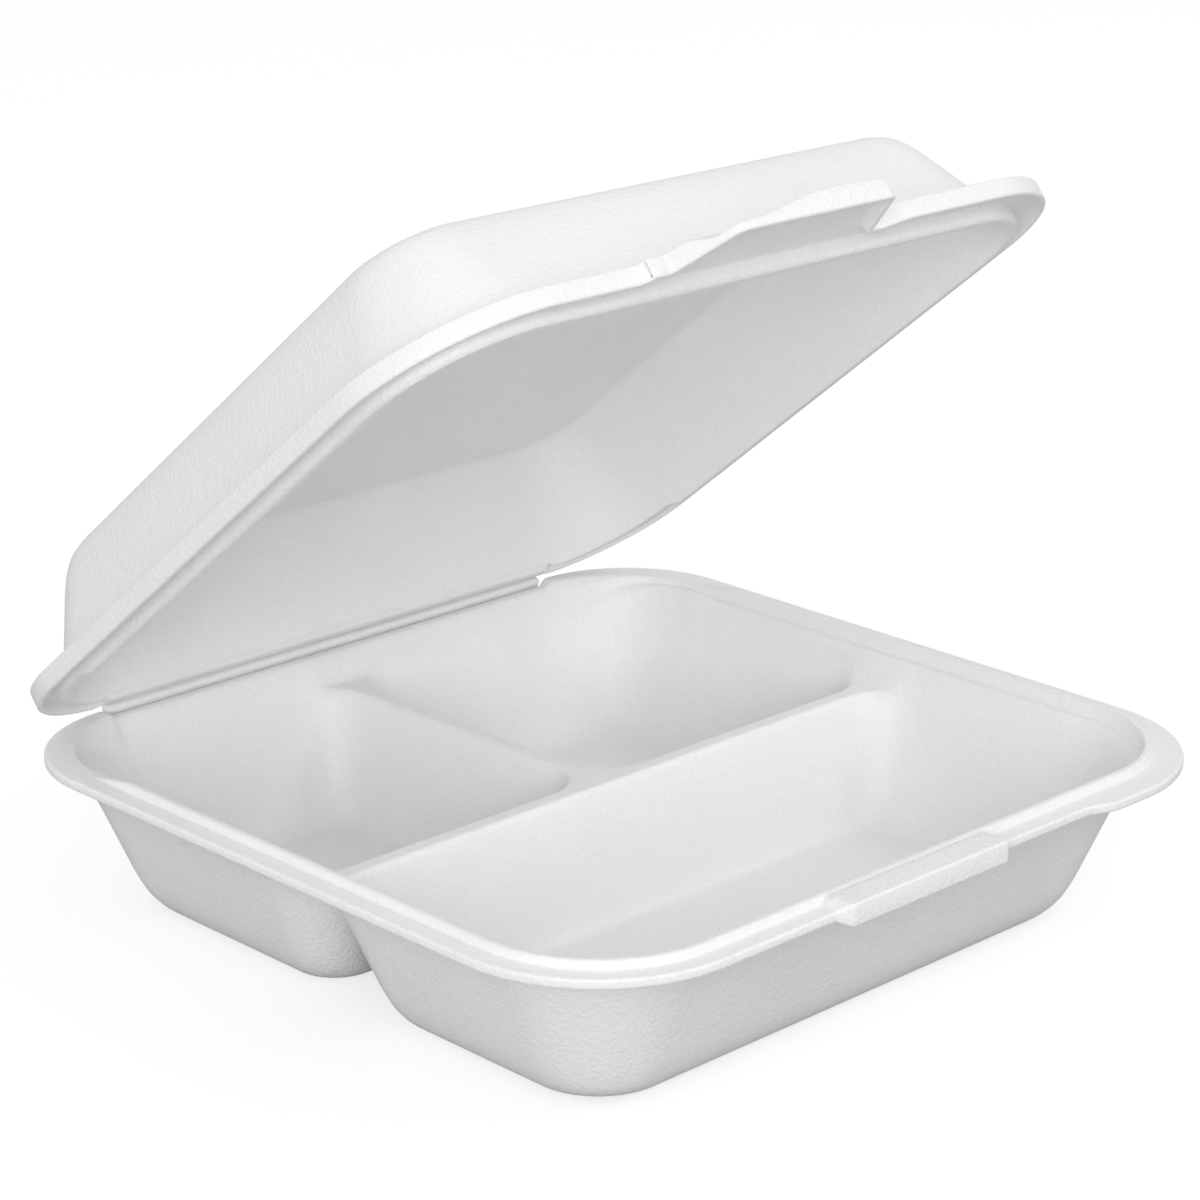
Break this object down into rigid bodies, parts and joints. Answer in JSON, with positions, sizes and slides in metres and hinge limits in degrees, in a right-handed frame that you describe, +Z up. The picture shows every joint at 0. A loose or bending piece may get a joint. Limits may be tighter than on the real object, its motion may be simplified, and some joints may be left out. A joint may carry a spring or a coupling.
{
  "type": "foam clamshell container",
  "caption": "Square hinged-lid foam food container with divided hollows in its tray and a latch ledge and opening tab at the front, lid held half open.",
  "frame": {"origin": "on the table, under the middle of the front hollow's flat foot", "axes": "+X along the hinge to the right, +Y from the latch towards the hinge, +Z up from the table"},
  "size_m": [0.236, 0.2394, 0.2053],
  "materials": {
    "white_foam": "extruded polystyrene foam sheet, thermoformed, fine closed-cell grain with a soft sheen"
  },
  "bodies": {
    "tray": {"base_tray": "white_foam"},
    "strip": {"hinge_strip": "white_foam"},
    "cover": {"lid": "white_foam"}
  },
  "joints": [
    {"name": "lid_opening", "type": "hinge", "parent": "tray", "child": "strip", "pos_m": [0, 0.1645, 0.043], "axis": [1, 0, 0], "range_deg": [-70.5, 19.5]},
    {"name": "lid_fold", "type": "hinge", "parent": "strip", "child": "cover", "pos_m": [0, 0.16604, 0.04734], "axis": [1, 0, 0], "range_deg": [-70.5, 19.5]}
  ],
  "couplings": [
    {"joint": "lid_fold", "follows": "lid_opening", "ratio": 1}
  ]
}
